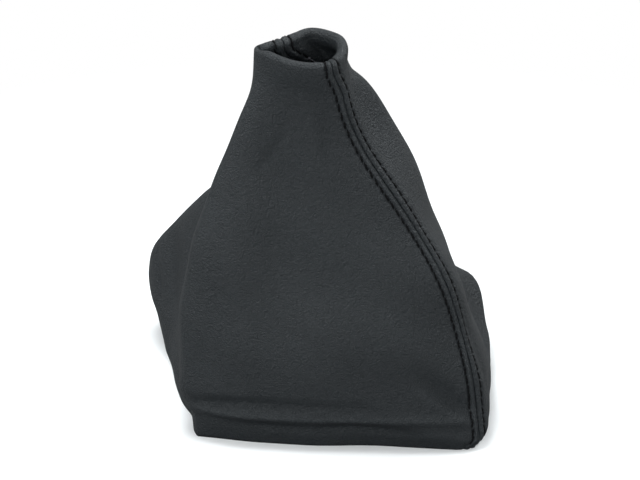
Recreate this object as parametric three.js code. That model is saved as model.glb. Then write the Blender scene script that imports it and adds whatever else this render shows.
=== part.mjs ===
// Gear lever gaiter: a soft leather cover that stands on its hem and narrows to a collar round the lever.
// It is sewn from two leather panels, joined by a seam at the front right corner and one at the rear left.
// Millimetres, +Z up, front towards -Y. The origin is on the floor, under the middle of the whole gaiter.

import * as THREE from 'three';

// Overall form
const bodyWidth = 187;
const bodyDepth = 131;
const collarTop = 185.5;
const skirtHeight = 15;

// Collar: the mouth is an oval pinched at its left end, and its rim slopes down to the front
const collarLength = 44.6;
const collarWidth = 34;
const collarBand = 15;
const rimSlope = 6.5;
const collarLeftOfMiddle = 4.4;
const collarBehindMiddle = 3.4;

// Leather and how it is turned at its edges: turnEasing is how far round the collar's roll changes, settledFrom
// and settledTo how far down the turned leather settles, and tipReach how far the pinched tip is felt
const leatherThickness = 1.1;
const layerGap = 0.3;
const seamAllowance = 9;
const collarTurn = 15;
const turnEasing = 7;
const settledFrom = 2;
const settledTo = 10;
const tipReach = 11;

// Sewing
const topstitchOffset = 3.3;
const stitchLength = 4.5;
const topstitchDiameter = 0.8;
const needleHoleDiameter = 0.4;
const joiningThreadDiameter = 0.5;
const threadEndAboveHem = 4;
const threadEndInCollar = 1.5;

// How finely the sheets and threads are divided
const skirtRows = 3;
const bodyRows = 13;
const turnRows = 3;
const rimFoldSteps = 4;
const seamFoldSteps = 3;
const panelColumns = 18;
const topstitchSides = 5;
const joiningThreadSides = 5;

// One profile for each seam, ridge and hollow, anticlockwise from above. Plan places and pulls are shares of
// the half width and half depth, and heights and lift are shares of the body's height.
// hem is where the leather stands, hip where the skirt folds in, swell how the leather leaves the hip, drop
// how it leaves the neck, neck and rim its places on the collar. tuck is the corner's roundness low and high.
const profiles = [
  { // seam at the front right corner
    hem: [0.88, -0.93], hip: [0.913, -0.88], lift: 0, swell: [0, 0.015, 0.32], drop: [0.18, -0.15, -0.22],
    neck: [0.86, -0.88], rim: [0.72, -0.87], rimFall: 0.8, bandShare: 1, tuck: [0.2, 0.25, 0.33, 0.33],
  },
  { // right side, front part
    hem: [0.966, -0.5], hip: [0.988, -0.48], lift: 0, swell: [-0.064, 0, 0.29], drop: [0.28, -0.03, -0.2],
    neck: [1.07, -0.42], rim: [0.95, -0.47], rimFall: 0.6, bandShare: 0.85, tuck: [0.33, 0.33, 0.33, 0.33],
  },
  { // right side, the shoulder under the collar
    hem: [0.96, 0.16], hip: [0.98, 0.16], lift: 0, swell: [-0.15, 0, 0.175], drop: [0.265, 0.09, -0.117],
    neck: [1.1, 0.1], rim: [1, 0.02], rimFall: 0.4, bandShare: 0.8, tuck: [0.28, 0.28, 0.33, 0.33],
  },
  { // rear right corner, a hip that stands out like a shelf
    hem: [0.865, 0.77], hip: [0.88, 0.78], lift: 0.105, swell: [-0.12, 0, 0.055], drop: [0.107, 0.137, -0.41],
    neck: [0.88, 0.65], rim: [0.78, 0.6], rimFall: 0.2, bandShare: 0.85, tuck: [0.18, 0.18, 0.33, 0.33],
  },
  { // middle of the rear
    hem: [0, 0.89], hip: [0, 0.953], lift: 0.03, swell: [0, -0.12, 0.26], drop: [0, 0.15, -0.29],
    neck: [0.2, 1], rim: [0.15, 0.95], rimFall: 0, bandShare: 0.95, tuck: [0.33, 0.33, 0.33, 0.33],
  },
  { // seam at the rear left corner, pinched into the collar
    hem: [-0.8, 0.92], hip: [-0.84, 0.983], lift: 0.065, swell: [0, -0.06, 0.205], drop: [0, 0.12, -0.41],
    neck: [-0.42, 0.7], rim: [-0.45, 0.3], rimFall: 0.1, bandShare: 1, tuck: [0.28, 0.3, 0.33, 0.33],
  },
  { // left side, the full shoulder towards the rear
    hem: [-0.865, 0.71], hip: [-0.97, 0.735], lift: 0.118, swell: [-0.03, 0.046, 0.2],
    drop: [0.043, 0.09, -0.41],
    neck: [-0.85, 0.32], rim: [-0.83, 0.14], rimFall: 0.3, bandShare: 1, tuck: [0.2, 0.22, 0.33, 0.33],
  },
  { // left side, the deep hollow, under the collar's pinched tip
    hem: [-0.77, 0.11], hip: [-0.835, 0.11], lift: 0, swell: [0.043, 0, 0.22], drop: [-0.064, -0.06, -0.33],
    neck: [-1.06, -0.16], rim: [-1, -0.1], rimFall: 0.65, bandShare: 1, tuck: [0.33, 0.33, 0.33, 0.33],
  },
  { // front left ridge
    hem: [-0.56, -0.93], hip: [-0.545, -0.875], lift: 0.012, swell: [-0.14, 0.183, 0.29],
    drop: [-0.22, -0.18, -0.22],
    neck: [-0.92, -0.6], rim: [-0.78, -0.55], rimFall: 0.7, bandShare: 1, tuck: [0.06, 0.1, 0.33, 0.33],
  },
  { // front, left half
    hem: [-0.167, -0.965], hip: [-0.167, -0.986], lift: 0, swell: [0, 0.06, 0.29], drop: [0, -0.12, -0.29],
    neck: [-0.24, -0.9], rim: [-0.2, -0.97], rimFall: 1, bandShare: 1, tuck: [0.33, 0.33, 0.33, 0.33],
  },
  { // front, right half
    hem: [0.42, -0.947], hip: [0.42, -0.986], lift: 0, swell: [0, 0.06, 0.29], drop: [0, -0.12, -0.29],
    neck: [0.37, -1.02], rim: [0.34, -1.05], rimFall: 0.9, bandShare: 1, tuck: [0.33, 0.33, 0.33, 0.33],
  },
];
const frontRightSeam = 0;
const rearLeftSeam = 5;
const collarTip = 7;

const bodyHeight = collarTop - skirtHeight;
const up = new THREE.Vector3(0, 0, 1);

const cubic = (a, b, c, d, t) => new THREE.CubicBezierCurve3(a, b, c, d).getPoint(t);
const along = (from, direction, distance) => from.clone().addScaledVector(direction, distance);

// The places and pulls of a profile, in millimetres
function placed(profile) {
  const plan = ([x, y], z) => new THREE.Vector3(x * bodyWidth / 2, y * bodyDepth / 2, z);
  const onCollar = ([x, y], z) => new THREE.Vector3(
    x * collarLength / 2 - collarLeftOfMiddle, y * collarWidth / 2 + collarBehindMiddle, z);
  const rimHeight = collarTop - rimSlope * profile.rimFall;
  return {
    hem: plan(profile.hem, 0),
    hip: plan(profile.hip, skirtHeight + profile.lift * bodyHeight),
    neck: onCollar(profile.neck, rimHeight - collarBand * profile.bandShare),
    rim: onCollar(profile.rim, rimHeight),
    swell: plan(profile.swell, profile.swell[2] * bodyHeight),
    drop: plan(profile.drop, profile.drop[2] * bodyHeight),
    tuck: profile.tuck,
  };
}

// A profile's point at a level: 0 at the hem, 1 at the hip, 2 at the neck, 3 at the rim
function profilePoint({ hem, hip, neck, rim, swell, drop }, level) {
  if (level < 1) {
    const reach = hip.distanceTo(hem);
    const leaving = swell.clone().normalize();
    return cubic(hem, along(hem, up, 0.45 * reach), along(hip, leaving, -0.3 * reach), hip, level);
  }
  if (level < 2) {
    return cubic(hip, hip.clone().add(swell), neck.clone().add(drop), neck, level - 1);
  }
  const reach = rim.distanceTo(neck);
  const leaving = drop.clone().normalize();
  return cubic(neck, along(neck, leaving, -0.33 * reach), along(rim, up, -0.33 * reach), rim, level - 2);
}

// A corner's roundness at a level, eased from the hem's value to the rim's
function tuckAt(tuck, level) {
  const stops = [0, 0.6, 2.2, 3];
  const i = level < stops[1] ? 0 : level < stops[2] ? 1 : 2;
  return THREE.MathUtils.mapLinear(Math.min(level, 3), stops[i], stops[i + 1], tuck[i], tuck[i + 1]);
}

const placedProfiles = profiles.map(placed);
const samplesPerSpan = 12;
const sections = new Map();

// The closed section at a level: one cubic span between neighbouring profiles, measured along its length
function sectionAt(level) {
  if (sections.has(level)) return sections.get(level);
  const count = placedProfiles.length;
  const knots = placedProfiles.map((profile) => profilePoint(profile, level));
  const tangents = knots.map((_, i) =>
    knots[(i + 1) % count].clone().sub(knots[(i + count - 1) % count]).normalize());
  const spans = knots.map((knot, i) => {
    const next = (i + 1) % count;
    const chord = knot.distanceTo(knots[next]);
    return new THREE.CubicBezierCurve3(
      knot,
      along(knot, tangents[i], tuckAt(placedProfiles[i].tuck, level) * chord),
      along(knots[next], tangents[next], -tuckAt(placedProfiles[next].tuck, level) * chord),
      knots[next],
    );
  });
  const lengths = [0];
  let last = knots[0];
  for (let i = 1; i <= count * samplesPerSpan; i++) {
    const point = i === count * samplesPerSpan ? knots[0]
      : spans[Math.floor(i / samplesPerSpan)].getPoint((i % samplesPerSpan) / samplesPerSpan);
    lengths.push(lengths[i - 1] + point.distanceTo(last));
    last = point;
  }
  const section = { spans, lengths, whole: lengths[lengths.length - 1] };
  sections.set(level, section);
  return section;
}

// The point of the outer face that lies a distance round from the front right seam
function outerPoint(distance, level) {
  const { spans, lengths, whole } = sectionAt(level);
  const wanted = ((distance % whole) + whole) % whole;
  let low = 0;
  let high = lengths.length - 1;
  while (high - low > 1) {
    const middle = (low + high) >> 1;
    if (lengths[middle] <= wanted) low = middle;
    else high = middle;
  }
  const place = (low + (wanted - lengths[low]) / (lengths[high] - lengths[low])) / samplesPerSpan;
  const span = Math.min(Math.floor(place), spans.length - 1);
  return spans[span].getPoint(place - span);
}

// How far round a profile lies at a level, counted from the front right seam
function profileDistance(profile, level) {
  const { lengths } = sectionAt(level);
  return lengths[profile * samplesPerSpan];
}

// How far round a column lies at a level. Its offset is measured from a seam, positive anticlockwise, and share
// is its place on the way between the two seams of a panel.
function distanceRound({ seam, offset, toSeam = seam, share = 0 }, level) {
  const start = profileDistance(seam, level);
  if (toSeam === seam) return start + offset;
  const end = toSeam === frontRightSeam ? sectionAt(level).whole : profileDistance(toSeam, level);
  return start + seamAllowance + share * (end - start - 2 * seamAllowance) + offset;
}

// A point under the leather's outer face: depth goes inwards and rise upwards past the rim
const roundStep = 0.4;
const levelStep = 0.01;
function pointUnder(column, level, depth, rise) {
  const round = (l) => distanceRound(column, l);
  const lower = Math.max(level - levelStep, 0);
  const upper = Math.min(level + levelStep, 3);
  const base = outerPoint(round(level), level);
  const across = outerPoint(round(level) + roundStep, level).sub(outerPoint(round(level) - roundStep, level));
  const climb = outerPoint(round(upper), upper).sub(outerPoint(round(lower), lower)).normalize();
  const outwards = across.cross(climb).normalize();
  if (level === 0) outwards.setZ(0).normalize();
  return base.addScaledVector(outwards, -depth).addScaledVector(climb, rise);
}

// Fold centres below the outer face: of the seam allowance, and of the collar's roll. The roll is as thick all
// round as at the seams, where it takes the allowance in. Clear of the allowance, the collar's tip is pressed
// thinner, and so is the turned leather as it settles below the roll.
const seamFoldDepth = leatherThickness + layerGap / 2;
const seamFoldPlace = seamFoldDepth + layerGap / 2;
const pressedDepth = leatherThickness + 1.5 * layerGap;
const rollDepth = 2 * leatherThickness + 1.5 * layerGap;
function rollDepthAt(column, { level, turned }) {
  const { smoothstep, lerp } = THREE.MathUtils;
  const round = distanceRound(column, level);
  const seams = [0, profileDistance(rearLeftSeam, level), sectionAt(level).whole];
  const fromSeam = Math.min(...seams.map((place) => Math.abs(round - place)));
  const fromTip = Math.abs(round - profileDistance(collarTip, level));
  const clear = smoothstep(fromSeam, seamAllowance + layerGap, seamAllowance + turnEasing);
  const pinched = 1 - smoothstep(fromTip, tipReach - turnEasing, tipReach);
  const settled = smoothstep(turned, settledFrom, settledTo);
  return lerp(rollDepth, pressedDepth, clear * Math.max(pinched, settled));
}

// The level that lies a distance below the rim
function levelBelowRim(distance) {
  if (distance <= collarBand) return 3 - distance / collarBand;
  return 2 - (distance - collarBand) / bodyHeight;
}

// A point of the leather. column says where it lies round the gaiter, row how high and how far round the rim's
// fold, and depth how deep it lies in the flat leather.
function leatherPoint(column, row, depth) {
  const foldRadius = seamFoldDepth - depth;
  const folded = seamFoldDepth - foldRadius * Math.cos(column.seamFold);
  const offset = column.offset + column.side * (-foldRadius * Math.sin(column.seamFold));
  const centre = rollDepthAt(column, row);
  const radius = centre - folded;
  return pointUnder(
    { ...column, offset },
    row.level,
    centre - radius * Math.cos(row.rimFold),
    radius * Math.sin(row.rimFold),
  );
}

// Columns of a panel, from the raw edge of one seam allowance, round its fold, across the face and back again
function panelColumnsBetween(seam, toSeam) {
  const steps = [seamFoldPlace, topstitchOffset, (topstitchOffset + seamAllowance) / 2, seamAllowance];
  const atSeam = (which, side, distance, seamFold) => ({
    seam: which, side, seamFold, offset: side * distance,
  });
  const folds = Array.from({ length: seamFoldSteps - 1 }, (_, i) => (i + 1) * Math.PI / seamFoldSteps);
  const edge = (which, side) => [
    ...[...steps].reverse().map((distance) => atSeam(which, side, distance, Math.PI)),
    ...[...folds].reverse().map((angle) => atSeam(which, side, seamFoldPlace, angle)),
    ...steps.map((distance) => atSeam(which, side, distance, 0)),
  ];
  const middle = Array.from({ length: panelColumns - 1 }, (_, i) => ({
    seam, toSeam, share: (i + 1) / panelColumns, side: 1, seamFold: 0, offset: 0,
  }));
  return [...edge(seam, 1), ...middle, ...edge(toSeam, -1).reverse()];
}

// Rows of a panel, from the hem up to the rim, over its fold and down to the edge of the turned collar
function panelRows() {
  const turnLevels = Array.from({ length: turnRows + 1 }, (_, i) => levelBelowRim(collarTurn * i / turnRows));
  const bodyTop = turnLevels[turnRows];
  const rows = [];
  for (let i = 0; i < skirtRows; i++) rows.push({ level: i / skirtRows, rimFold: 0, turned: 0 });
  for (let i = 0; i < bodyRows; i++) {
    rows.push({ level: 1 + (bodyTop - 1) * i / bodyRows, rimFold: 0, turned: 0 });
  }
  for (let i = turnRows; i >= 0; i--) rows.push({ level: turnLevels[i], rimFold: 0, turned: 0 });
  for (let i = 1; i < rimFoldSteps; i++) {
    rows.push({ level: 3, rimFold: i * Math.PI / rimFoldSteps, turned: 0 });
  }
  for (let i = 0; i <= turnRows; i++) {
    rows.push({ level: turnLevels[i], rimFold: Math.PI, turned: collarTurn * i / turnRows });
  }
  return rows;
}

function solid(points, faces) {
  const geometry = new THREE.BufferGeometry().setFromPoints(points);
  geometry.setIndex(faces.flat());
  geometry.computeVertexNormals();
  return geometry;
}

// A leather sheet: the grain face, the flesh face and the cut edge all round
function panelGeometry(seam, toSeam) {
  const columns = panelColumnsBetween(seam, toSeam);
  const points = [];
  for (const depth of [0, leatherThickness]) {
    for (const column of columns) {
      for (const row of rows) points.push(leatherPoint(column, row, depth));
    }
  }
  const perFace = columns.length * rows.length;
  const at = (c, r) => c * rows.length + r;
  const faces = [];
  for (let c = 0; c + 1 < columns.length; c++) {
    for (let r = 0; r + 1 < rows.length; r++) {
      const [a, b, d, e] = [at(c, r), at(c + 1, r), at(c + 1, r + 1), at(c, r + 1)];
      faces.push([a, b, d], [a, d, e]);
      faces.push([perFace + a, perFace + d, perFace + b], [perFace + a, perFace + e, perFace + d]);
    }
  }
  const border = [];
  for (let c = 0; c + 1 < columns.length; c++) border.push(at(c, 0));
  for (let r = 0; r + 1 < rows.length; r++) border.push(at(columns.length - 1, r));
  for (let c = columns.length - 1; c > 0; c--) border.push(at(c, rows.length - 1));
  for (let r = rows.length - 1; r > 0; r--) border.push(at(0, r));
  border.forEach((a, i) => {
    const b = border[(i + 1) % border.length];
    faces.push([a, perFace + a, perFace + b], [a, perFace + b, b]);
  });
  return solid(points, faces);
}

// A point beside a seam. way counts the panel's rows and the parts between them, so that a thread follows the
// leather's own facets up the outside, over the rim's round fold and down the turned collar.
const rows = panelRows();
function threadPoint(seam, offset, way, depth) {
  const column = { seam, side: 1, seamFold: 0, offset };
  const first = Math.min(Math.floor(way), rows.length - 2);
  const [from, to] = [rows[first], rows[first + 1]];
  const share = way - first;
  if (from.rimFold !== to.rimFold) {
    const rimFold = THREE.MathUtils.lerp(from.rimFold, to.rimFold, share);
    return leatherPoint(column, { level: from.level, rimFold, turned: 0 }, depth);
  }
  return leatherPoint(column, from, depth).lerp(leatherPoint(column, to, depth), share);
}

// Lengths along a thread's way, so that stitches can be spaced by distance
function measuredWay(seam, offset, depth) {
  const perRow = 12;
  const fine = (rows.length - 1) * perRow;
  const lengths = [0];
  let last = threadPoint(seam, offset, 0, depth);
  for (let i = 1; i <= fine; i++) {
    const point = threadPoint(seam, offset, i / perRow, depth);
    lengths.push(lengths[i - 1] + point.distanceTo(last));
    last = point;
  }
  const wayAt = (length) => {
    let i = 1;
    while (i < fine && lengths[i] < length) i++;
    return (i - 1 + (length - lengths[i - 1]) / (lengths[i] - lengths[i - 1])) / perRow;
  };
  return { total: lengths[fine], wayAt };
}

// A round thread through rings of given way, depth and radius, closed at both ends
function threadGeometry(seam, offset, rings, sides) {
  const points = [];
  const faces = [];
  const wayStep = 0.05;
  rings.forEach(({ way, depth, radius }) => {
    const centre = threadPoint(seam, offset, way, depth);
    const ahead = threadPoint(seam, offset, Math.min(way + wayStep, rows.length - 1), depth);
    const behind = threadPoint(seam, offset, Math.max(way - wayStep, 0), depth);
    const forwards = ahead.sub(behind).normalize();
    const outwards = threadPoint(seam, offset, way, depth - 1).sub(centre);
    const across = forwards.clone().cross(outwards).normalize();
    outwards.crossVectors(across, forwards).normalize();
    for (let i = 0; i < sides; i++) {
      const angle = 2 * Math.PI * i / sides + Math.PI / 2;
      points.push(along(along(centre, across, radius * Math.cos(angle)), outwards, radius * Math.sin(angle)));
    }
  });
  for (let r = 0; r + 1 < rings.length; r++) {
    for (let i = 0; i < sides; i++) {
      const [a, b] = [r * sides + i, r * sides + (i + 1) % sides];
      faces.push([a, b + sides, b], [a, a + sides, b + sides]);
    }
  }
  const lastRing = (rings.length - 1) * sides;
  for (let i = 1; i + 1 < sides; i++) {
    faces.push([0, i, i + 1], [lastRing, lastRing + i + 1, lastRing + i]);
  }
  return solid(points, faces);
}

// A topstitch row: full between the needle holes and drawn thin where it dives into them
function topstitchGeometry(seam, side) {
  const offset = side * topstitchOffset;
  const fullDepth = -(layerGap + topstitchDiameter / 2);
  const holeDepth = -(layerGap + needleHoleDiameter / 2);
  const way = measuredWay(seam, offset, fullDepth);
  const stitches = Math.floor((way.total - threadEndAboveHem - threadEndInCollar) / stitchLength);
  const hole = (length) => ({ way: way.wayAt(length), depth: holeDepth, radius: needleHoleDiameter / 2 });
  const full = (length) => ({ way: way.wayAt(length), depth: fullDepth, radius: topstitchDiameter / 2 });
  const rings = [];
  for (let i = 0; i < stitches; i++) {
    const start = threadEndAboveHem + i * stitchLength;
    rings.push(hole(start), full(start + 0.2 * stitchLength), full(start + 0.8 * stitchLength));
  }
  rings.push(hole(threadEndAboveHem + stitches * stitchLength));
  return threadGeometry(seam, offset, rings, topstitchSides);
}

// The thread that joins the panels lies in the valley between their two folded edges
function joiningThreadGeometry(seam) {
  const radius = joiningThreadDiameter / 2;
  const reach = seamFoldDepth + radius + layerGap;
  const depth = seamFoldDepth - Math.sqrt(reach * reach - seamFoldPlace * seamFoldPlace);
  const way = measuredWay(seam, 0, depth);
  const first = way.wayAt(threadEndAboveHem);
  const last = way.wayAt(way.total - threadEndInCollar);
  const rings = [first, ...rows.keys(), last]
    .filter((place) => place >= first && place <= last)
    .sort((a, b) => a - b)
    .map((place) => ({ way: place, depth, radius }));
  return threadGeometry(seam, 0, rings, joiningThreadSides);
}

const leather = new THREE.MeshStandardMaterial({ color: 0x232426, roughness: 0.55, metalness: 0 });
const thread = new THREE.MeshStandardMaterial({ color: 0x0b0b0c, roughness: 0.6, metalness: 0 });

function piece(name, geometry, material) {
  const mesh = new THREE.Mesh(geometry, material);
  mesh.name = name;
  return mesh;
}

const gaiter = new THREE.Group();
gaiter.add(
  piece('rear_right_leather_panel', panelGeometry(frontRightSeam, rearLeftSeam), leather),
  piece('front_left_leather_panel', panelGeometry(rearLeftSeam, frontRightSeam), leather),
  piece('front_right_seam_joining_thread', joiningThreadGeometry(frontRightSeam), thread),
  piece('rear_left_seam_joining_thread', joiningThreadGeometry(rearLeftSeam), thread),
  piece('front_right_topstitch_on_rear_panel', topstitchGeometry(frontRightSeam, 1), thread),
  piece('front_right_topstitch_on_front_panel', topstitchGeometry(frontRightSeam, -1), thread),
  piece('rear_left_topstitch_on_front_panel', topstitchGeometry(rearLeftSeam, 1), thread),
  piece('rear_left_topstitch_on_rear_panel', topstitchGeometry(rearLeftSeam, -1), thread),
);

// The origin goes under the middle of the gaiter
const box = new THREE.Box3().setFromObject(gaiter);
gaiter.position.set(-(box.min.x + box.max.x) / 2, -(box.min.y + box.max.y) / 2, 0);

export default gaiter;
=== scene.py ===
# %% [markdown]
# # A gear lever gaiter in sewn black leather
# The real gaiter is a soft cover that hides the slot round a gear lever. It is cut from two panels of thin
# leather, sewn at the front right and the rear left corner, and every raw edge but the hem is turned in.
# The CAD model holds its size and its broad form, so this lesson loads it as a fixed frame, makes the same
# surface again more finely, and then gives it folds, stitches and a finish.

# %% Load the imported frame
import math

import bpy
import numpy as np
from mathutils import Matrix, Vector


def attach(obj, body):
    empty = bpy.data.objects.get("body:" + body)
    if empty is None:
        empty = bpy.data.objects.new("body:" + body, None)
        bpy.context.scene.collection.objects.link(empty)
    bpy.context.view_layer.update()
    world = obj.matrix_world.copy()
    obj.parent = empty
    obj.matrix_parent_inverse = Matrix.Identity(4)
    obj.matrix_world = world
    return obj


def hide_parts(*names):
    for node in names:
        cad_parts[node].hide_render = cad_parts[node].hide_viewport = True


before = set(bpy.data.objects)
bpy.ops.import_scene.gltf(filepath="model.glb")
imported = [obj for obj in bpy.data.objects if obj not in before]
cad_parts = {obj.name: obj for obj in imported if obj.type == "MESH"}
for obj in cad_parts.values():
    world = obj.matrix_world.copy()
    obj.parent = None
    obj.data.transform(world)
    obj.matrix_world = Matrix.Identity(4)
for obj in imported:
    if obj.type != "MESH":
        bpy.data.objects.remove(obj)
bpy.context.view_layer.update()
MM = 0.001
scene = bpy.context.scene
scene.view_settings.view_transform = "Standard"
print("nodes of the frame:", len(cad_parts))

# %% [markdown]
# ## Where the camera stands
# The photograph looks down on the gaiter, a little from its right. A long lens far away keeps the sides
# nearly parallel, as they are there. The camera comes first, so that every later step can be judged in its
# frame. It could be placed by eye, but an angle, a distance and a lens in pixels are easier to put right.

# %% The camera
AIM = Vector((3.7, -2.85, 82.0)) * MM
AZIMUTH, ELEVATION, DISTANCE = math.radians(4.5), math.radians(27), 1.0
SENSOR, FOCAL_PIXELS, PHOTO_WIDTH = 36.0, 2000, 640

towards = Vector((math.sin(AZIMUTH) * math.cos(ELEVATION), -math.cos(AZIMUTH) * math.cos(ELEVATION),
                  math.sin(ELEVATION)))
camera = bpy.data.objects.new("camera", bpy.data.cameras.new("camera"))
camera.data.sensor_width = SENSOR
camera.data.lens = SENSOR * FOCAL_PIXELS / PHOTO_WIDTH
camera.location = AIM + towards * DISTANCE
camera.rotation_euler = (-towards).to_track_quat("-Z", "Y").to_euler()
scene.collection.objects.link(camera)
scene.camera = camera
print("lens", round(camera.data.lens, 1), "mm")

# %% [markdown]
# ## The gaiter's form
# Eleven profiles climb from the hem over the hip of the skirt to the neck and the rim: one for each seam,
# ridge and hollow. Each is three Bezier curves, and a closed curve through the profiles gives the section at
# any level. It could be sculpted by hand, but then the folded edges and the stitches would have no surface
# to be reckoned from. The profiles are the CAD's, set a few millimetres closer to the photograph where that
# shows. Level 0 is the hem, 1 the hip, 2 the neck and 3 the rim. Lengths are in millimetres.

# %% Sizes of the form
BODY = np.array((187.0, 131.0)) / 2
COLLAR_TOP, SKIRT_HEIGHT = 185.5, 15.0
BODY_HEIGHT = COLLAR_TOP - SKIRT_HEIGHT
COLLAR = np.array((44.6, 34.0)) / 2
COLLAR_MIDDLE = np.array((-4.4, 3.4))
COLLAR_BAND, RIM_SLOPE = 15.0, 6.5
UP = np.array((0.0, 0.0, 1.0))

# Places are shares of the body, and for neck and rim of the collar. Lift raises the hip, swell and drop pull
# the curve between hip and neck, and tuck says how far the section runs straight on at four levels.
# Each row is: hem, hip, lift, swell, drop,
#              neck, rim, rim fall, band share, tuck
EVEN_TUCK = (.33, .33, .33, .33)
PROFILES = [
    # seam at the front right corner
    ((.887, -.914), (.932, -.896), -.05, (-.1, .4, .578), (.162, -.178, -.303),
     (.932, -.87), (.705, -.903), 1.1, 1, (.2, .25, .33, .33)),
    # right side, front part, and its shoulder under the collar
    ((.982, -.5), (.977, -.48), .029, (-.048, 0, .3), (.207, -.03, -.204),
     (1.041, -.42), (.95, -.47), .75, .85, EVEN_TUCK),
    ((.975, .16), (.972, .16), -.01, (-.174, 0, .142), (.32, .09, -.079),
     (1.046, .1), (1, .02), .4, .8, (.28, .28, .33, .33)),
    # rear right ridge
    ((.866, .77), (.823, .78), .146, (-.128, 0, .026), (.112, .137, -.518),
     (.909, .65), (.78, .6), .2, .85, (.18, .18, .33, .33)),
    # middle of the rear
    ((0, .89), (0, .953), .03, (0, -.12, .26), (0, .15, -.29),
     (.45, 1), (.1, .93), .1, .95, EVEN_TUCK),
    # seam at the rear left corner
    ((-.8, .92), (-.84, .983), .065, (0, -.06, .205), (0, .12, -.41),
     (0, .78), (-.5, .2), .35, 1, (.28, .3, .33, .33)),
    # left side, the full shoulder towards the rear, and the deep hollow
    ((-.895, .71), (-.983, .735), .114, (.052, .046, .246), (.041, .09, -.389),
     (-.854, .3), (-.84, .02), .55, 1, (.2, .22, .33, .33)),
    ((-.799, .11), (-.777, .11), .029, (.046, 0, .169), (-.074, -.06, -.376),
     (-1.027, -.16), (-1, -.12), .65, 1, EVEN_TUCK),
    # front left ridge
    ((-.56, -.93), (-.575, -.877), .03, (-.168, .168, .289), (-.203, -.18, -.222),
     (-.932, -.6), (-.78, -.55), .7, 1, (.06, .1, .33, .33)),
    # front, left and right half
    ((-.167, -.965), (-.167, -.986), 0, (0, .06, .29), (0, -.12, -.29),
     (-.24, -.9), (-.2, -.97), 1, 1, EVEN_TUCK),
    ((.42, -.947), (.42, -.986), 0, (0, .06, .29), (0, -.12, -.29),
     (.37, -1.02), (.34, -1.05), 1.08, 1, EVEN_TUCK),
]
# The profiles that the two seams and the collar's pinched left tip follow
FRONT_RIGHT, REAR_LEFT, TIP = 0, 5, 7


def stacked(plan, heights):
    return np.column_stack((plan, np.broadcast_to(heights, len(plan))))


hem, hip, lift, swell, drop, neck, rim, rim_fall, band_share, TUCK = (
    np.array(values, float) for values in zip(*PROFILES))
rim_heights = COLLAR_TOP - RIM_SLOPE * rim_fall
HEM, HIP = stacked(hem * BODY, 0), stacked(hip * BODY, SKIRT_HEIGHT + lift * BODY_HEIGHT)
NECK = stacked(neck * COLLAR + COLLAR_MIDDLE, rim_heights - COLLAR_BAND * band_share)
RIM = stacked(rim * COLLAR + COLLAR_MIDDLE, rim_heights)
SWELL, DROP = (stacked(v[:, :2] * BODY, v[:, 2] * BODY_HEIGHT) for v in (swell, drop))
print("profiles:", len(PROFILES))


# %% The profiles and the sections between them
def length(v):
    return np.linalg.norm(v, axis=-1, keepdims=True)


def unit(v):
    return v / np.maximum(length(v), 1e-9)


def bezier(a, b, c, d, t):
    s = 1 - t
    return s ** 3 * a + 3 * s * s * t * b + 3 * s * t * t * c + t ** 3 * d


HEM_PULL, HIP_PULL, BAND_PULL = 0.45, 0.3, 0.33


def profile_points(levels):
    """The profiles' places at some levels: through the skirt, up the body and up the collar's band."""
    t = levels[:, None, None]
    skirt, band = length(HIP - HEM), length(RIM - NECK)
    low = bezier(HEM, HEM + UP * HEM_PULL * skirt, HIP - unit(SWELL) * HIP_PULL * skirt, HIP, t)
    middle = bezier(HIP, HIP + SWELL, NECK + DROP, NECK, t - 1)
    top = bezier(NECK, NECK - unit(DROP) * BAND_PULL * band, RIM - UP * BAND_PULL * band, RIM, t - 2)
    return np.where(t < 1, low, np.where(t < 2, middle, top))


class Sections:
    """The closed sections at some levels, each measured round from the front right seam."""
    SAMPLES = 12
    TUCK_STOPS = (0, 0.6, 2.2, 3)

    def __init__(self, levels):
        knots = profile_points(levels)
        ahead = np.roll(knots, -1, 1)
        tangents = unit(ahead - np.roll(knots, 1, 1))
        pull = np.stack([np.interp(levels, self.TUCK_STOPS, tuck) for tuck in TUCK], 1)[..., None]
        chord = length(ahead - knots)
        # Each span between two profiles is a Bezier curve, kept as its four points
        self.pulls = (knots, knots + tangents * pull * chord,
                      ahead - np.roll(tangents, -1, 1) * np.roll(pull, -1, 1) * chord, ahead)
        steps = (np.arange(self.SAMPLES) / self.SAMPLES)[None, None, :, None]
        dense = bezier(*(p[:, :, None] for p in self.pulls), steps).reshape(len(levels), -1, 3)
        dense = np.concatenate((dense, dense[:, :1]), 1)
        self.lengths = np.concatenate(
            (np.zeros((len(levels), 1)), np.cumsum(length(np.diff(dense, axis=1))[..., 0], 1)), 1)
        self.whole = self.lengths[:, -1:]
        self.rear_left, self.tip = (self.lengths[:, i * self.SAMPLES, None] for i in (REAR_LEFT, TIP))

    def at(self, distances):
        """Points at distances round each section."""
        places = np.arange(self.lengths.shape[1]) / self.SAMPLES
        place = np.stack([np.interp(d % w, row, places)
                          for d, w, row in zip(distances, self.whole[:, 0], self.lengths)])
        span = np.minimum(place.astype(int), len(PROFILES) - 1)
        rows = np.arange(len(place))[:, None]
        return bezier(*(p[rows, span] for p in self.pulls), (place - span)[..., None])

    def distances(self, columns):
        """From a column's shares of the way to the rear left seam and of the whole, and its offset."""
        return columns[:, 0] * self.rear_left + columns[:, 1] * self.whole + columns[:, 2]

    def from_seams(self, distances):
        """The same distances, measured from the front right seam either way and from the rear left seam."""
        half = self.whole / 2
        return (distances + half) % self.whole - half, distances - self.rear_left


hem_section = Sections(np.zeros(1))
print("round the hem:", hem_section.whole.round(1), "mm, rear left seam at", hem_section.rear_left.round(1))


# %% The bare surface, with its outward and upward directions
ROUND_STEP, LEVEL_STEP = 0.4, 0.004
# The CAD's origin lies under the middle of its box, a little aside from the middle of the hem
ORIGIN_SHIFT = np.array((-1.15, -0.23, 0.0))


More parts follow.
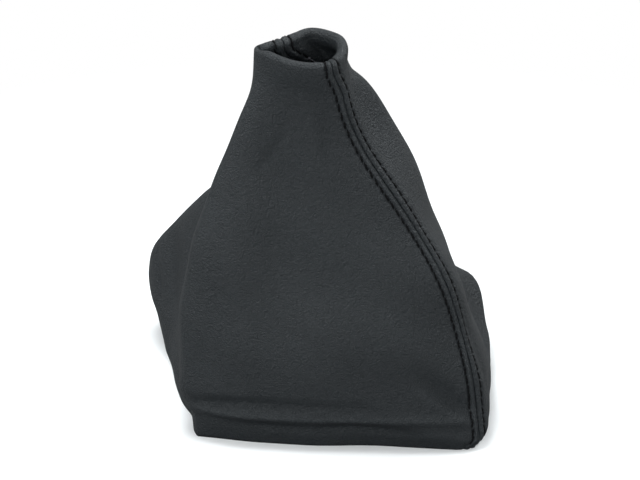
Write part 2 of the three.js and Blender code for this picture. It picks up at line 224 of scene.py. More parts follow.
def bare(levels, columns):
    sections = Sections(levels)
    return sections.at(sections.distances(columns)) + ORIGIN_SHIFT


def standing(surface, levels, columns):
    """A surface's points, and which way is out of it and up it."""
    aside = np.array((0, 0, ROUND_STEP))
    across = surface(levels, columns + aside) - surface(levels, columns - aside)
    climb = (surface(np.minimum(levels + LEVEL_STEP, 3), columns)
             - surface(np.maximum(levels - LEVEL_STEP, 0), columns))
    return surface(levels, columns), unit(np.cross(across, climb)), unit(climb)


# %% [markdown]
# ## Folds in the soft leather
# Leather that stands on its own hem is never smooth. It rolls over where the skirt is folded, is drawn in
# beside a seam, and dents where it has been handled. A cloth simulation would give folds of its own choosing,
# and the photograph shows particular ones, so they are laid on one by one. Each is a line through a few
# places on the surface, with a height, a width, and a strength at each place, and raises or lowers what lies
# near.

# %% The folds that the photograph shows, as height, half width and (x, y, z, strength)
FOLDS = {
    "roll over the skirt, front": (1.8, 1.9, [
        (-60, -42, 11, .3), (-54, -58, 15.5, .9), (-39, -63, 15.3, 1), (-10, -65, 15.3, 1),
        (20, -65.5, 15.5, .9), (49, -64, 15.5, .8), (70, -62, 15, .8), (80, -60, 14, .5)]),
    "crease above the roll": (-1.7, 2.7, [
        (-55, -56, 19, .7), (-44, -61.5, 20.8, 1.1), (-24, -63.5, 22, 1), (0, -65, 22, .6),
        (30, -65, 22, .4)]),
    "tuck under the roll": (-2.1, 2.6, [
        (-60, -38, 9, .6), (-52, -55, 10, 1), (-20, -63, 10.5, 1), (20, -64, 10.5, 1), (60, -62, 10, .9),
        (76, -60, 9.5, .5)]),
    "pull towards the front right corner": (-2.6, 4.5, [
        (50, -58, 42, 0), (59, -58, 35, .5), (68, -58, 29, 1), (73, -59, 23.5, 1.1), (79, -58, 20.5, .8)]),
    "lower edge of that pull": (1.4, 2.7, [
        (50, -60.5, 33, .1), (60, -60.5, 27, .6), (68, -60.5, 21.5, 1), (77, -59, 16, 1)]),
    "pleat beside the seam": (0.9, 2.6, [
        (62, -41, 95, 0), (72, -46, 70, .7), (82, -50, 45, 1), (88, -51, 28, .8)]),
    "furrow beside that pleat": (-1.0, 3.0, [
        (66, -34, 92, 0), (77, -39, 66, .8), (86, -43, 42, 1), (91, -44, 26, .6)]),
    "roll over the skirt, right": (0.9, 3.2, [
        (90, -44, 15, .6), (92, -20, 15, 1), (92, 10, 15, .9), (88, 35, 16, .7), (80, 50, 17, .7)]),
    "roll over the skirt, rear": (0.9, 3.4, [
        (70, 56, 18, .6), (40, 61, 19, 1), (0, 62, 20, .9), (-40, 63, 23, .9), (-70, 64, 26, .7)]),
    "roll over the skirt, left": (0.8, 3.2, [
        (-90, 50, 27, .8), (-88, 30, 22, .9), (-80, 8, 16, .8), (-68, -22, 15, .7), (-57, -45, 15, .6)]),
    "long hollow down the front": (-1.2, 17.0, [
        (-8, -22, 135, .3), (-2, -36, 100, .8), (6, -46, 75, 1), (18, -54, 52, .4)]),
    "swelling beside it": (0.8, 15.0, [
        (-32, -30, 105, .4), (-34, -42, 75, 1), (-32, -52, 50, .8)]),
    "swelling under the neck": (0.8, 10.0, [
        (-14, -12, 152, .8), (-8, -16, 142, 1), (0, -20, 130, .5)]),
    "upright crease under the neck": (-0.9, 2.8, [
        (6, -17, 153, .5), (7.5, -20, 143, 1), (9, -22.5, 132, .3)]),
    "slanting crease left of it": (-0.8, 2.6, [
        (-12, -16.5, 145, .4), (-18, -19.5, 137, 1), (-25, -23, 129, .4)]),
    "depth of the left hollow": (-2.0, 7.5, [
        (-75.5, 32, 61, .6), (-76, 25, 47, 1), (-75, 18, 36, .7)]),
    "crease beside the left hip": (-1.0, 2.6, [
        (-86, 44, 53, .4), (-86, 38, 44, 1), (-84.6, 31, 35, 1), (-83, 26, 28, .4)]),
    "hollow in the right side": (-1.4, 12.0, [
        (60, -5, 92, .4), (72, -3, 70, 1), (80, -5, 48, .6)]),
    "crease in the rear": (-1.3, 9.0, [
        (-10, 35, 110, .3), (8, 48, 75, 1), (16, 55, 48, .6)]),
    "ridge in the rear": (1.0, 9.0, [
        (-18, 36, 115, .3), (-22, 48, 80, 1), (-30, 57, 50, .7)]),
}
# Places that are pushed bodily aside, as place, reach and push: a sharp corner would be split by a fold
PUSHES = [(np.array(place), reach, np.array(push)) for place, reach, push in (
    ((-60.5, -43.5, 0), 10.0, (3.8, 0.0, 0.0)),
    ((-57, -52, 21), 8.0, (-2.8, 0.0, 0.0)),
)]
# Faint waves that run all over the leather
WAVE_HEIGHT, WAVES, WAVES_SEED = 0.22, 9, 4
SHORTEST_WAVE, LONGEST_WAVE = 22, 60

dice = np.random.default_rng(WAVES_SEED)
wave_ways = unit(dice.normal(size=(WAVES, 3))) * 2 * math.pi / dice.uniform(
    SHORTEST_WAVE, LONGEST_WAVE, (WAVES, 1))
wave_starts = dice.uniform(0, 2 * math.pi, WAVES)


def laid_along(points, height, half_width, path):
    """Height of a fold at some points: full on its line, and gone at about twice its half width."""
    path = np.array(path, float)
    nearest = np.full(points.shape[:-1], np.inf)
    strength = np.zeros(points.shape[:-1])
    for (*a, a_strength), (*b, b_strength) in zip(path[:-1], path[1:]):
        a, b = np.array(a), np.array(b)
        t = np.clip((points - a) @ (b - a) / ((b - a) @ (b - a)), 0, 1)
        away = np.linalg.norm(points - a - t[..., None] * (b - a), axis=-1)
        closer = away < nearest
        nearest = np.where(closer, away, nearest)
        strength = np.where(closer, a_strength + t * (b_strength - a_strength), strength)
    return height * strength * np.exp(-(nearest / half_width) ** 2)


def folds_at(points):
    waves = np.sin(points @ wave_ways.T + wave_starts).sum(-1) * WAVE_HEIGHT
    return waves + sum(laid_along(points, *fold) for fold in FOLDS.values())


def folded(levels, columns):
    """The bare surface with its folds, waves and pushes."""
    points, out, _ = standing(bare, levels, columns)
    pushed = sum(np.exp(-(length(points - place) / reach) ** 2) * push for place, reach, push in PUSHES)
    return points + out * folds_at(points)[..., None] + pushed


print("folds:", len(FOLDS))

# %% [markdown]
# ## How the edges are turned and sewn
# At a seam the two panels' edges are turned in by a seam allowance, so they meet in a valley. A row of
# topstitching holds each allowance down, and the leather puffs up between the valley and the rows. At the
# collar the leather is rolled over and turned down inside. Both are made by going round a small circle under
# the surface, which keeps every layer one leather thickness from the next. A Solidify modifier would not
# know which layer lies where. A way up the gaiter goes from 0 at the hem to 3 at the rim, to 4 over the
# roll, and to 5 at the edge of the turned collar. A column says where such a way runs: its place round the
# section as three numbers, the side of its seam, and how far it has turned round the seam's fold.

# %% Sizes of the leather and its sewing
THICKNESS, GAP = 1.1, 0.3
ALLOWANCE, COLLAR_TURN = 9.0, 15.0
# The roll of the rim is wide at the seams and at the pinched left tip, and pressed flat in between
TURN_EASING, TIP_REACH = 7.0, 11.0
SETTLED_FROM, SETTLED_TO = 2.0, 10.0
ROLL_RADIUS, PRESSED_RADIUS = 2 * THICKNESS + 1.5 * GAP, THICKNESS + 1.5 * GAP
# A seam's fold is drawn in beside the valley, and starts a hair away from it so that the panels don't touch
FOLD_DEPTH, FOLD_REACH = THICKNESS + GAP / 2, 0.75
FOLD_PLACE = FOLD_REACH + 0.01
ROW_OFFSET, STITCH_LENGTH = 3.3, 4.5
THREAD_START, THREAD_STOP = 4.0, 1.5


def smoothstep(low, high, x):
    t = np.clip((x - low) / (high - low), 0, 1)
    return t * t * (3 - 2 * t)


def row_of(ways):
    """Level and turn over the rim at each way."""
    down = COLLAR_TURN * np.clip(ways - 4, 0, 1)
    below = np.where(down <= COLLAR_BAND, 3 - down / COLLAR_BAND, 2 - (down - COLLAR_BAND) / BODY_HEIGHT)
    return np.where(ways > 4, below, np.minimum(ways, 3)), math.pi * np.clip(ways - 3, 0, 1)


def leather(columns, ways, depth, sewn):
    """Points at a depth in the leather, where sewn gives how far the stitching raises it beside a seam."""
    levels, over = row_of(ways)
    over = over[:, None]
    side, turn = columns[:, 3], columns[:, 4]
    # Round the seam's fold
    inner = FOLD_DEPTH - depth
    under = FOLD_DEPTH - inner * np.cos(turn)
    pressed = FOLD_REACH / FOLD_DEPTH
    moved = columns[:, :3] + np.outer(-side * inner * pressed * np.sin(turn), (0, 0, 1))
    points, out, climb = standing(folded, levels, moved)
    # Over the roll of the rim
    sections = Sections(levels)
    distances = sections.distances(columns)
    from_front, from_rear = sections.from_seams(distances)
    near = np.minimum(np.abs(from_front), np.abs(from_rear))
    pinched = 1 - smoothstep(TIP_REACH - TURN_EASING, TIP_REACH, np.abs(distances - sections.tip))
    settled = smoothstep(SETTLED_FROM, SETTLED_TO, COLLAR_TURN * (ways - 4))[:, None]
    clear = smoothstep(ALLOWANCE + GAP, ALLOWANCE + TURN_EASING, near)
    centre = ROLL_RADIUS + (PRESSED_RADIUS - ROLL_RADIUS) * clear * np.maximum(pinched, settled)
    radius = centre - under + sewn(from_front, from_rear, ways)
    deep = centre - radius * np.cos(over)
    return points - out * deep[..., None] + climb * (radius * np.sin(over))[..., None]


def unsewn(from_front, from_rear, ways):
    """No stitching, as on the leather that a row's own path is laid on."""
    return 0.0


# %% Where the stitches fall in the four rows
ROWS = {
    "front_right_topstitch_on_rear_panel": (FRONT_RIGHT, 1),
    "front_right_topstitch_on_front_panel": (FRONT_RIGHT, -1),
    "rear_left_topstitch_on_front_panel": (REAR_LEFT, 1),
    "rear_left_topstitch_on_rear_panel": (REAR_LEFT, -1),
}
WAYS = np.linspace(0, 5, 1501)


def beside(seam, offset):
    """The one column at an offset from a seam."""
    return np.array([(seam == REAR_LEFT, 0, offset, 1, 0)], float)


class StitchRow:
    """A row's length along its way, and where its stitches begin and end."""
    def __init__(self, seam, side):
        self.seam, self.side = seam, side
        points = leather(beside(seam, side * ROW_OFFSET), WAYS, 0, unsewn)[:, 0]
        self.along = np.concatenate(([0], np.cumsum(length(np.diff(points, axis=0))[:, 0])))
        self.count = int((self.along[-1] - THREAD_START - THREAD_STOP) / STITCH_LENGTH)

    def phase(self, ways):
        """Whole numbers at the needle holes."""
        return (np.interp(ways, WAYS, self.along) - THREAD_START) / STITCH_LENGTH

    def way(self, lengths):
        return np.interp(lengths, self.along, WAYS)


stitch_rows = {name: StitchRow(*where) for name, where in ROWS.items()}
by_place = {(row.seam, row.side): row for row in stitch_rows.values()}
print("stitches in each row:", [row.count for row in stitch_rows.values()])


# %% How the sewing raises and draws in the leather
# Height, and place and half width beside the seam. The groove's place is the row's own
PUFF, PUFF_PLACE, PUFF_WIDTH = 0.55, 1.75, 0.9
GROOVE, GROOVE_WIDTH = 0.6, 0.75
SHOULDER, SHOULDER_PLACE, SHOULDER_WIDTH = 0.3, 4.9, 1.0
LEDGE, LEDGE_FROM, LEDGE_TO = 0.3, ALLOWANCE - 2, ALLOWANCE + 1.5
# Shares of those heights: a puff's at a needle hole and its rise between two, and a groove's depth between
# two and its deepening at one
PUFF_AT_HOLE, PUFF_BETWEEN, GROOVE_BETWEEN, GROOVE_AT_HOLE = 0.85, 0.3, 0.45, 0.75


def bump_at(away, place, half_width):
    return np.exp(-((away - place) / half_width) ** 2)


def sewn_beside(offset, seam, ways):
    """Height that the rows beside one seam give the leather. hole is 1 at a needle hole, 0 between two."""
    away = np.abs(offset)
    right, left = (by_place[seam, side].phase(ways)[:, None] for side in (1, -1))
    hole = 0.5 + 0.5 * np.cos(2 * math.pi * np.where(offset > 0, right, left))
    puff = PUFF * (PUFF_AT_HOLE + PUFF_BETWEEN * (1 - hole)) * bump_at(away, PUFF_PLACE, PUFF_WIDTH)
    groove = (-GROOVE * (GROOVE_BETWEEN + GROOVE_AT_HOLE * hole ** 2)
              * bump_at(away, ROW_OFFSET, GROOVE_WIDTH))
    shoulder = SHOULDER * (1 - hole) * bump_at(away, SHOULDER_PLACE, SHOULDER_WIDTH)
    ledge = LEDGE * (1 - smoothstep(LEDGE_FROM, LEDGE_TO, away))
    return puff + groove + shoulder + ledge


def sewn(from_front, from_rear, ways):
    return sewn_beside(from_front, FRONT_RIGHT, ways) + sewn_beside(from_rear, REAR_LEFT, ways)


# %% [markdown]
# ## Two shader classes
# Each finish is built from nodes. A little class wraps a socket, so that sums on it are written as Python
# sums, and one method adds any other node. Laying nodes out by hand would be longer and harder to change.

# %% A socket that can be reckoned with, and a tree that adds nodes
class Signal:
    def __init__(self, nodes, socket):
        self.nodes, self.socket = nodes, socket

    def math(self, operation, *values):
        return self.nodes.add("ShaderNodeMath", {"operation": operation}, dict(enumerate(values)))

    def __add__(self, other): return self.math("ADD", self, other)
    def __radd__(self, other): return self.math("ADD", other, self)
    def __sub__(self, other): return self.math("SUBTRACT", self, other)
    def __rsub__(self, other): return self.math("SUBTRACT", other, self)
    def __mul__(self, other): return self.math("MULTIPLY", self, other)
    def __rmul__(self, other): return self.math("MULTIPLY", other, self)
    def __pow__(self, other): return self.math("POWER", self, other)
    def __abs__(self): return self.math("ABSOLUTE", self)


class Nodes:
    def __init__(self, tree):
        self.tree = tree

    def add(self, kind, settings=None, sockets=None, out=0):
        """Adds a node, sets its settings and then its sockets, and gives back one output."""
        node = self.tree.nodes.new(kind)
        for name, value in (settings or {}).items():
            setattr(node, name, value)
        for name, value in (sockets or {}).items():
            if isinstance(value, Signal):
                self.tree.links.new(value.socket, node.inputs[name])
            else:
                node.inputs[name].default_value = value
        return Signal(self, node.outputs[out]) if node.outputs else None


def finish(name):
    material = bpy.data.materials.new(name)
    material.use_nodes = True
    material.node_tree.nodes.clear()
    return material, Nodes(material.node_tree)


def colour_mix(nodes, factor, a, b):
    return nodes.add("ShaderNodeMix", {"data_type": "RGBA"}, {0: factor, 6: (*a, 1), 7: (*b, 1)}, 2)


def in_millimetres(nodes):
    """Object coordinates in millimetres, so that a pattern's scale reads as so many per millimetre."""
    return nodes.add("ShaderNodeVectorMath", {"operation": "SCALE"},
                     {0: nodes.add("ShaderNodeTexCoord", out="Object"), "Scale": 1 / MM})


def principled(nodes, sockets):
    """A Principled shader as the material's surface."""
    nodes.add("ShaderNodeOutputMaterial", None, {
        "Surface": nodes.add("ShaderNodeBsdfPrincipled", None, sockets)})


# %% [markdown]
# ## The leather
# Soft nappa has a pebbled grain of cells under a millimetre across, crossed by faint creases, with a satin
# finish that is a little more polished where the hide stands proud, and there its colour is painted lighter
# as a painted sheen. The grain could be a displaced mesh, but that would take millions of faces, so it is a
# bump from cell patterns on Object coordinates, which stay even over every fold. Only the folds that throw a
# shadow are geometry. The flesh side, seen from below, is a dull grey nap.

# %% The grain side
LEATHER, LEATHER_LIGHT = (0.008, 0.0105, 0.0125), (0.021, 0.025, 0.028)
CELLS, SMALL_CELLS, PORES, CREASES, PATCHES = 1.1, 2.4, 2.2, 0.22, 0.035
DRIFT, DRIFT_REACH, CREASE_SHARPNESS = 0.35, 1.6, 9
GRAIN_DEPTH = 0.7 * MM

leather_finish, n = finish("black_leather")
here = in_millimetres(n)
drift = n.add("ShaderNodeTexNoise", None, {"Vector": here, "Scale": DRIFT, "Detail": 2.0}, "Color")
drift = n.add("ShaderNodeVectorMath", {"operation": "SCALE"}, {0: drift, "Scale": DRIFT_REACH})
bent = n.add("ShaderNodeVectorMath", {"operation": "ADD"}, {0: here, 1: drift})
cells = n.add("ShaderNodeTexVoronoi", {"feature": "SMOOTH_F1"},
              {"Vector": bent, "Scale": CELLS, "Smoothness": 0.3}, "Distance")
small_cells = n.add("ShaderNodeTexVoronoi", None, {"Vector": bent, "Scale": SMALL_CELLS}, "Distance")
pores = n.add("ShaderNodeTexNoise", None, {"Vector": here, "Scale": PORES, "Detail": 3.0}, "Fac")
creases = n.add("ShaderNodeTexNoise", None, {
    "Vector": bent, "Scale": CREASES, "Detail": 4.0, "Roughness": 0.6, "Distortion": 0.6}, "Fac")
creases = n.add("ShaderNodeClamp", None, {0: 1 - abs(creases - 0.5) * CREASE_SHARPNESS})
patches = n.add("ShaderNodeTexNoise", None, {"Vector": here, "Scale": PATCHES, "Detail": 3.0}, "Fac")
polish_and_sheen = n.add("ShaderNodeAttribute", {"attribute_name": "polish_and_sheen"}, None, "Fac")
relief = (1 - cells) * 0.6 + (1 - small_cells) * 0.25 + pores * 0.5 - creases * 0.25
# Polish lowers the roughness and also paints the colour lighter on the seams' puffs and the rim's roll: a
# painted sheen
tone = n.add("ShaderNodeClamp", None, {0: patches * 0.9 - cells * 0.9 + polish_and_sheen * 0.35 + 0.05})
principled(n, {
    "Base Color": colour_mix(n, tone, LEATHER, LEATHER_LIGHT),
    "Roughness": 0.44 + cells * 0.1 + patches * 0.12 - polish_and_sheen * 0.12,
    "IOR": 1.42,
    "Normal": n.add("ShaderNodeBump", None, {"Strength": 1.0, "Distance": GRAIN_DEPTH, "Height": relief}),
})

# %% The flesh side and the cut edges
FLESH, FLESH_LIGHT, NAP_DEPTH = (0.018, 0.018, 0.019), (0.05, 0.05, 0.052), 0.3 * MM

flesh_finish, n = finish("leather_flesh_side")
here = in_millimetres(n)
nap = n.add("ShaderNodeTexNoise", None, {
    "Vector": here, "Scale": 1.8, "Detail": 5.0, "Roughness": 0.7}, "Fac")
clumps = n.add("ShaderNodeTexNoise", None, {"Vector": here, "Scale": 0.25, "Detail": 2.0}, "Fac")
principled(n, {
    "Base Color": colour_mix(n, nap * 0.6 + clumps * 0.4, FLESH, FLESH_LIGHT),
    "Roughness": 0.85 + nap * 0.1,
    "Specular IOR Level": 0.15,
    "Normal": n.add("ShaderNodeBump", None, {"Strength": 0.7, "Distance": NAP_DEPTH, "Height": nap}),
})

# %% [markdown]
# ## The two panels
# Each panel is one closed sheet: grain face, flesh face and cut edge all round. Its columns run from the raw
# edge of one seam allowance, round the fold, over the face and into the other seam. They crowd together at
# the seams, where the stitches draw the leather in, and its rows are a millimetre or so apart for the same
# reason. A subdivided CAD panel would round the folds off, so the sheet is made anew and replaces it.

# %% Columns and rows of a panel
# Distances from the seam, on the face and on the turned allowance
SEAM_STEPS = [1.1, 1.4, 1.75, 2.15, 2.55, 2.9, 3.3, 3.7, 4.05, 4.5, 5.1, 5.8, 6.7, 7.8]
ALLOWANCE_STEPS = [9.0, 6.5, 4.5, 3.3, 2.0, 1.2]
SEAM_TURNS, MIDDLE_COLUMNS = 6, 100
SKIRT_ROWS, BODY_ROWS, BAND_ROWS, ROLL_ROWS, TURNED_ROWS = 16, 165, 15, 12, 14


def seam_columns(seam, side):
    """Columns from an allowance's raw edge round the fold to where the allowance ends under the face."""
    def at(offset, turn):
        return (seam == REAR_LEFT, 0, side * offset, side, turn)

    return ([at(step, math.pi) for step in (*ALLOWANCE_STEPS, FOLD_PLACE)]
            + [at(FOLD_PLACE, math.pi * (1 - i / SEAM_TURNS)) for i in range(1, SEAM_TURNS)]
            + [at(step, 0) for step in (FOLD_PLACE, *SEAM_STEPS, ALLOWANCE)])


def panel_columns(seam):
    """Columns from a seam anticlockwise to the other one."""
    middle = []
    for i in range(1, MIDDLE_COLUMNS):
        share = i / MIDDLE_COLUMNS
        offset = ALLOWANCE * (1 - 2 * share)
        middle.append((share, 0, offset, 1, 0) if seam == FRONT_RIGHT else (1 - share, share, offset, 1, 0))
    other = REAR_LEFT if seam == FRONT_RIGHT else FRONT_RIGHT
    return np.array(seam_columns(seam, 1) + middle + seam_columns(other, -1)[::-1], float)


PANEL_WAYS = np.concatenate((
    np.linspace(0, 1, SKIRT_ROWS, endpoint=False), np.linspace(1, 2, BODY_ROWS, endpoint=False),
    np.linspace(2, 3, BAND_ROWS, endpoint=False), np.linspace(3, 4, ROLL_ROWS, endpoint=False),
    np.linspace(4, 5, TURNED_ROWS)))


# %% Sew a panel up as a mesh
# Polish on the seams' puffs and on the rim's roll, which also paints the colour lighter there as a painted
# sheen
PUFF_POLISH_AND_SHEEN, PUFF_POLISH_AND_SHEEN_WIDTH, RIM_POLISH_AND_SHEEN = 0.7, 1.0, 0.8


def sheet_mesh(name, columns):
    """A closed sheet: grain face, flesh face, and the cut edge that joins them."""
    grain = leather(columns, PANEL_WAYS, 0, sewn)
    flesh = leather(columns, PANEL_WAYS, THICKNESS, sewn)
    high, wide = grain.shape[:2]
    index = np.arange(high * wide).reshape(high, wide)
    outer = np.stack((index[:-1, :-1], index[:-1, 1:], index[1:, 1:], index[1:, :-1]), -1).reshape(-1, 4)
    rim_line = np.concatenate((index[0, :-1], index[:-1, -1], index[-1, :0:-1], index[:0:-1, 0]))
    ahead = np.roll(rim_line, -1)
    back = high * wide
    edge = np.stack((rim_line, rim_line + back, ahead + back, ahead), -1)
    faces = np.concatenate((outer, outer[:, ::-1] + back, edge))
    mesh = bpy.data.meshes.new(name)
    mesh.from_pydata((np.concatenate((grain, flesh)).reshape(-1, 3) * MM).tolist(), [], faces.tolist())
    mesh.materials.append(leather_finish)
    mesh.materials.append(flesh_finish)
    which = np.repeat((0, 1, 1), (len(outer), len(outer), len(edge)))
    mesh.polygons.foreach_set("material_index", which.astype(np.int32))
    mesh.polygons.foreach_set("use_smooth", np.ones(len(faces), bool))
    # Polish per corner, which the leather's colour turns into a painted sheen
    polish_and_sheen = polish_and_sheen_of(columns)
    mesh.attributes.new("polish_and_sheen", "FLOAT", "POINT").data.foreach_set(
        "value", np.concatenate((polish_and_sheen, polish_and_sheen)).ravel().astype(np.float32))
    mesh.update()
    return mesh


def polish_and_sheen_of(columns):
    """How far the grain is polished and its colour painted lighter as a painted sheen: on the seams' puffs
    and on the roll of the rim.
    """
    levels, over = row_of(PANEL_WAYS)
    sections = Sections(levels)
    near = np.minimum(*np.abs(sections.from_seams(sections.distances(columns))))
    puffs = PUFF_POLISH_AND_SHEEN * bump_at(near, PUFF_PLACE, PUFF_POLISH_AND_SHEEN_WIDTH)
    return np.clip(puffs + RIM_POLISH_AND_SHEEN * np.sin(over)[:, None], 0, 1)


def show(name, mesh):
    """A piece that rides on the gaiter's one body."""
    piece = bpy.data.objects.new(name, mesh)
    scene.collection.objects.link(piece)
    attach(piece, "root")
    return piece


REAR_PANEL, FRONT_PANEL = "rear_right_leather_panel", "front_left_leather_panel"
panels = {}
for name, seam in ((REAR_PANEL, FRONT_RIGHT), (FRONT_PANEL, REAR_LEFT)):
    panel = show(name.replace("_panel", ""), sheet_mesh(name, panel_columns(seam)))
    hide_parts(name)
    panels[name] = panel

# %% [markdown]
# ## The thread
# The gaiter is sewn with stout black bonded thread of two plies, a stitch every four and a half millimetres.
# Each stitch lies in the groove that it has drawn, and dives into its needle holes, a little aslant. They
# could be modelled one by one, but a row is a repeat along a path, which is what Geometry Nodes is for.

# %% The thread's finish
THREAD, THREAD_LIGHT, FIBRES, FIBRE_DEPTH = (0.0015, 0.0015, 0.0018), (0.006, 0.006, 0.0065), 6.0, 0.05 * MM

thread_finish, n = finish("black_thread")
fibres = n.add("ShaderNodeTexNoise", None, {
    "Vector": in_millimetres(n), "Scale": FIBRES, "Detail": 3.0}, "Fac")
principled(n, {
    "Base Color": colour_mix(n, fibres, THREAD, THREAD_LIGHT),
    "Roughness": 0.6 + fibres * 0.15,
    "Specular IOR Level": 0.08,
    "Normal": n.add("ShaderNodeBump", None, {"Strength": 0.4, "Distance": FIBRE_DEPTH, "Height": fibres}),
})


# %% A tree that lays stitches along a path
PLY_SIDES, PLY_RINGS, SLANT_SWAY = 5, 6, 0.09
# How far each ply lies from the middle, in its own radius, and how late a stitch dives to its hole
PLY_SPREAD, DIVE = 0.9, 3.5


def stitch_tree():
    """Two plies twisted round each other are one stitch, which is then laid at even steps along the path."""
    tree = bpy.data.node_groups.new("row_of_stitches", "GeometryNodeTree")
    tree.interface.new_socket("Row", in_out="OUTPUT", socket_type="NodeSocketGeometry")
    for name, kind in (("Path", "Geometry"), ("Stitches", "Int"), ("Stitch length", "Float"),
                       ("Ply radius", "Float"), ("Rise", "Float"), ("Dip", "Float"), ("Slant", "Float"),
                       ("Twists", "Float"), ("Seed", "Int"), ("Thread", "Material")):
        tree.interface.new_socket(name, in_out="INPUT", socket_type="NodeSocket" + kind)
    n = Nodes(tree)
    group = tree.nodes.new("NodeGroupInput")
    given = {socket.name: Signal(n, socket) for socket in group.outputs if socket.name}

    half = given["Stitch length"] * 0.5
    line = n.add("GeometryNodeCurvePrimitiveLine", None, {
        "Start": n.add("ShaderNodeCombineXYZ", None, {"X": 0 - half}),
        "End": n.add("ShaderNodeCombineXYZ", None, {"X": half})})
    line = n.add("GeometryNodeResampleCurve", None, {"Curve": line, "Count": PLY_RINGS})
    factor = n.add("GeometryNodeSplineParameter", out="Factor")
    reach = abs(factor * 2 - 1)
    drop = given["Rise"] - (given["Rise"] + given["Dip"]) * reach ** DIVE
    plies = []
    for start in (0, math.pi):
        angle = factor * given["Twists"] * 2 * math.pi + start
        ply = n.add("GeometryNodeSetPosition", None, {"Geometry": line, "Offset": n.add(
            "ShaderNodeCombineXYZ", None, {
                "Y": angle.math("COSINE", angle) * given["Ply radius"] * PLY_SPREAD,
                "Z": angle.math("SINE", angle) * given["Ply radius"] * PLY_SPREAD + drop})})
        plies.append(n.add("GeometryNodeCurveToMesh", None, {
            "Curve": ply, "Fill Caps": True,
            "Profile Curve": n.add("GeometryNodeCurvePrimitiveCircle", None, {
                "Resolution": PLY_SIDES, "Radius": given["Ply radius"]})}))
    stitch = tree.nodes.new("GeometryNodeJoinGeometry")
    for ply in plies:
        tree.links.new(ply.socket, stitch.inputs[0])

    path = n.add("GeometryNodeMeshToCurve", None, {"Mesh": given["Path"]})
    path = n.add("GeometryNodeResampleCurve", None, {"Curve": path, "Count": given["Stitches"]})
    upright = n.add("FunctionNodeAxesToRotation", {"primary_axis": "Z", "secondary_axis": "X"}, {
        0: n.add("GeometryNodeInputNamedAttribute", {"data_type": "FLOAT_VECTOR"}, {"Name": "outward"}),
        1: n.add("GeometryNodeInputTangent")})
    sway = n.add("FunctionNodeRandomValue", {"data_type": "FLOAT"},
                 {2: -SLANT_SWAY, 3: SLANT_SWAY, "Seed": given["Seed"]}, 1)
    turn = n.add("FunctionNodeEulerToRotation", None, {
        0: n.add("ShaderNodeCombineXYZ", None, {"Z": given["Slant"] + sway})})
    turned = n.add("FunctionNodeRotateRotation", {"rotation_space": "LOCAL"}, {0: upright, 1: turn})
    row = n.add("GeometryNodeInstanceOnPoints", None, {
        "Points": path, "Instance": Signal(n, stitch.outputs[0]), "Rotation": turned})
    row = n.add("GeometryNodeRealizeInstances", None, {"Geometry": row})
    row = n.add("GeometryNodeSetShadeSmooth", None, {0: row})
    row = n.add("GeometryNodeSetMaterial", None, {"Geometry": row, "Material": given["Thread"]})
    n.add("NodeGroupOutput", None, {"Row": row})
    return tree


stitches_along = stitch_tree()
INPUTS = {item.name: item.identifier for item in stitches_along.interface.items_tree
          if item.in_out == "INPUT"}
print("inputs of the stitch tree:", list(INPUTS))


# %% Sew a row along the leather
PLY_TWISTS, PATH_STEP = 1.5, 0.75
threads = {name: [] for name in panels}


def path_mesh(name, points, outward):
    mesh = bpy.data.meshes.new(name)
    mesh.from_pydata((points * MM).tolist(), [(i, i + 1) for i in range(len(points) - 1)], [])
    mesh.attributes.new("outward", "FLOAT_VECTOR", "POINT").data.foreach_set(
        "vector", outward.ravel().astype(np.float32))
    return mesh


def sew(name, points, outward, stitches, stitch_length, ply, rise, dip, slant, seed):
    """Runs the stitch tree on a path, keeps the result as a plain mesh, and notes which panel it is on."""
    path = bpy.data.objects.new(name + "_path", path_mesh(name + "_path", points, outward))
    scene.collection.objects.link(path)
    modifier = path.modifiers.new("stitches", "NODES")
    modifier.node_group = stitches_along
    for socket, value in (("Stitches", stitches), ("Stitch length", stitch_length * MM),
                          ("Ply radius", ply * MM), ("Rise", rise * MM), ("Dip", dip * MM),
                          ("Slant", slant), ("Twists", PLY_TWISTS), ("Seed", seed),
                          ("Thread", thread_finish)):
        modifier[INPUTS[socket]] = value
    depsgraph = bpy.context.evaluated_depsgraph_get()
    mesh = bpy.data.meshes.new_from_object(path.evaluated_get(depsgraph))
    mesh.name = name
    bpy.data.objects.remove(path)
    piece = show(name, mesh)
    threads[FRONT_PANEL if name.endswith("front_panel") else REAR_PANEL].append(piece)
    print(name, stitches, "stitches,", len(mesh.polygons), "faces")
    return piece


def path_of(seam, offset, ways, depth):
    """Points along a seam at a depth in the leather, and which way is out of it."""
    column = beside(seam, offset)
    points = leather(column, ways, depth, unsewn)[:, 0]
    outward = unit(leather(column, ways, depth - 1, unsewn)[:, 0] - points)
    return points, outward


# In the photograph the row on the front panel looks stouter than its neighbour. A stitch is a little longer
# than its step, so that its ends reach into the holes
TOP_PLY = {-1: 0.36, 1: 0.28}
TOP_LENGTH, TOP_RISE, TOP_DIP, TOP_SLANT = STITCH_LENGTH * 1.04, 0.42, 0.5, 0.16
for seed, (name, row) in enumerate(stitch_rows.items()):
    first = THREAD_START + STITCH_LENGTH / 2
    last = THREAD_START + (row.count - 0.5) * STITCH_LENGTH
    lengths = np.linspace(first, last, int((last - first) / PATH_STEP))
    points, outward = path_of(row.seam, row.side * ROW_OFFSET, row.way(lengths), GROOVE * GROOVE_BETWEEN)
    piece = sew(name.replace("_on", ""), points, outward, row.count, TOP_LENGTH, TOP_PLY[row.side],
                TOP_RISE, TOP_DIP, TOP_SLANT * row.side, seed)
    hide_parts(name)

# %% [markdown]
# ## The thread that joins the panels, and the rows' undersides
# Before the topstitching, each seam was closed by a finer thread that now lies deep in the valley between the
# two folded edges. On the flesh side, every topstitched row shows again as its bobbin thread. Both are rows
# along a seam as well, so the same tree sews them with other sizes.

